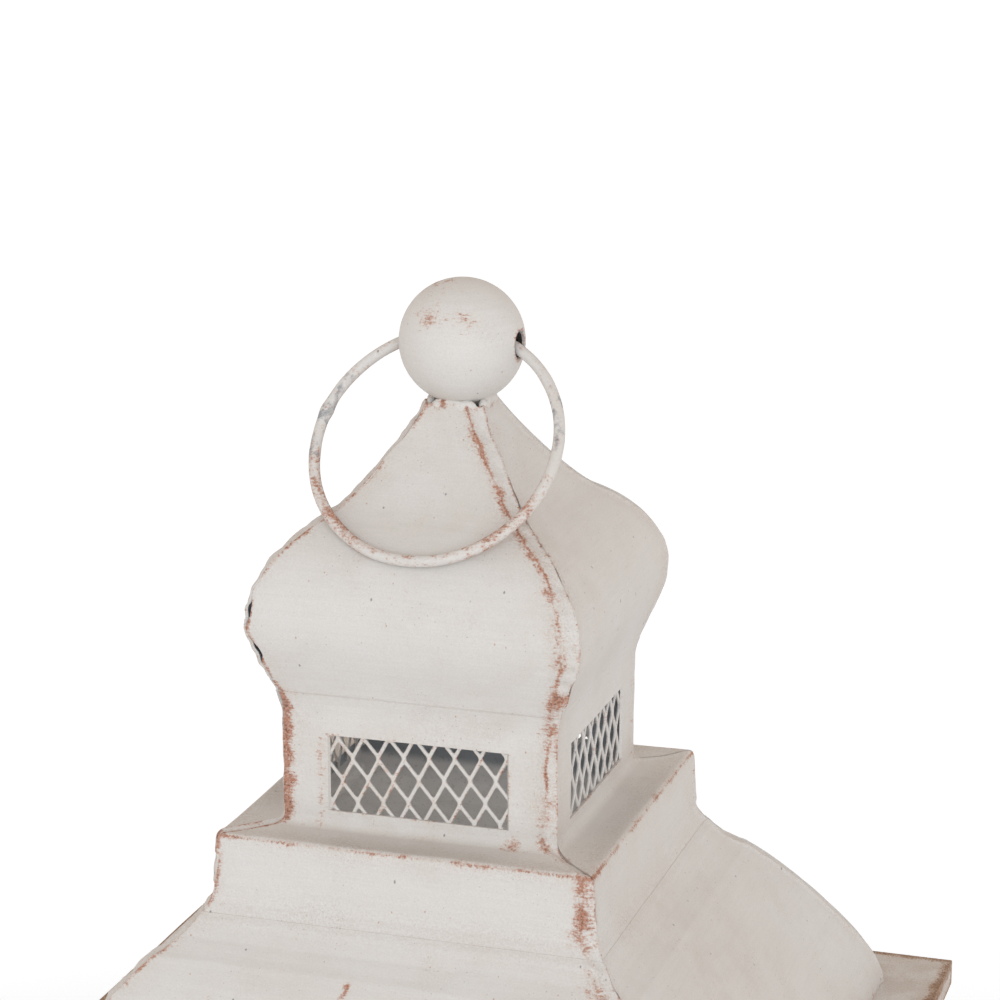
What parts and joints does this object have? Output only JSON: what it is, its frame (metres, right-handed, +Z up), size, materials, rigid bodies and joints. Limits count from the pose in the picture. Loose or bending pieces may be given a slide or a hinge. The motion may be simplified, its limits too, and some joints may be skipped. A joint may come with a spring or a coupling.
{
  "type": "candle lantern",
  "caption": "Square metal candle lantern with a pagoda roof, meshed vent box, onion cap, ball finial with a swinging ring, glazed sides and a hinged door",
  "frame": {"origin": "on the ground under the lantern's centre", "axes": "+Z up to the finial; the door faces -Y, with its hinges on the -X side"},
  "size_m": [0.284, 0.284, 0.6823],
  "materials": {
    "painted_sheet": "matte off-white paint, rubbed through to rust brown along ridges and edges",
    "painted_wire": "the same paint, worn more, with bare dark spots",
    "painted_fitting": "the same paint over solder and small fittings",
    "bare_zinc": "dull grey, lightly stained",
    "clear_glass": "clear, slightly uneven"
  },
  "bodies": {
    "lantern": {"finial_ball": "painted_sheet", "eave_plate": "painted_sheet", "roof_panel_front": "painted_sheet", "roof_panel_right": "painted_sheet", "roof_panel_back": "painted_sheet", "roof_panel_left": "painted_sheet", "corner_post_front_right": "painted_sheet", "corner_post_back_right": "painted_sheet", "corner_post_back_left": "painted_sheet", "corner_post_front_left": "painted_sheet", "top_rail_front": "painted_sheet", "top_rail_right": "painted_sheet", "top_rail_back": "painted_sheet", "top_rail_left": "painted_sheet", "bottom_rail_front": "painted_sheet", "bottom_rail_right": "painted_sheet", "bottom_rail_back": "painted_sheet", "bottom_rail_left": "painted_sheet", "floor_plate": "painted_sheet", "base_plate": "painted_sheet", "base_skirt_front": "painted_sheet", "base_skirt_right": "painted_sheet", "base_skirt_back": "painted_sheet", "base_skirt_left": "painted_sheet", "foot_front_right": "painted_sheet", "foot_back_right": "painted_sheet", "foot_back_left": "painted_sheet", "foot_front_left": "painted_sheet", "vent_mesh_front": "painted_wire", "vent_mesh_right": "painted_wire", "vent_mesh_back": "painted_wire", "vent_mesh_left": "painted_wire", "finial_solder": "painted_fitting", "hinge_upper_post_leaf": "painted_fitting", "hinge_lower_post_leaf": "painted_fitting", "latch_rivet": "painted_fitting", "candle_dish": "bare_zinc", "candle_spike": "bare_zinc", "door_stops": "bare_zinc", "glass_clips_right": "bare_zinc", "glass_clips_back": "bare_zinc", "glass_clips_left": "bare_zinc", "hinge_upper_pin": "bare_zinc", "hinge_lower_pin": "bare_zinc", "glass_pane_right": "clear_glass", "glass_pane_back": "clear_glass", "glass_pane_left": "clear_glass"},
    "door": {"door_stile_hinge_side": "painted_sheet", "door_stile_latch_side": "painted_sheet", "door_rail_top": "painted_sheet", "door_rail_bottom": "painted_sheet", "door_glass": "clear_glass", "door_glass_clips": "bare_zinc", "door_knob": "painted_fitting", "hinge_upper_door_leaf": "painted_fitting", "hinge_lower_door_leaf": "painted_fitting"},
    "ring": {"handle_ring": "painted_wire"},
    "turn_button": {"latch_lever": "painted_fitting"}
  },
  "joints": [
    {"name": "handle_swing", "type": "hinge", "parent": "lantern", "child": "ring", "pos_m": [0, 0, 0.662], "axis": [-0.9986, 0.0523, 0], "range_deg": [0, 282.4]},
    {"name": "door_swing", "type": "hinge", "parent": "lantern", "child": "door", "pos_m": [-0.1015, -0.1208, 0.234], "axis": [0, 0, -1], "range_deg": [0, 170]},
    {"name": "latch_turn", "type": "hinge", "parent": "lantern", "child": "turn_button", "pos_m": [0.11, -0.1193, 0.264], "axis": [0, 1, 0], "range_deg": [0, 90]}
  ]
}
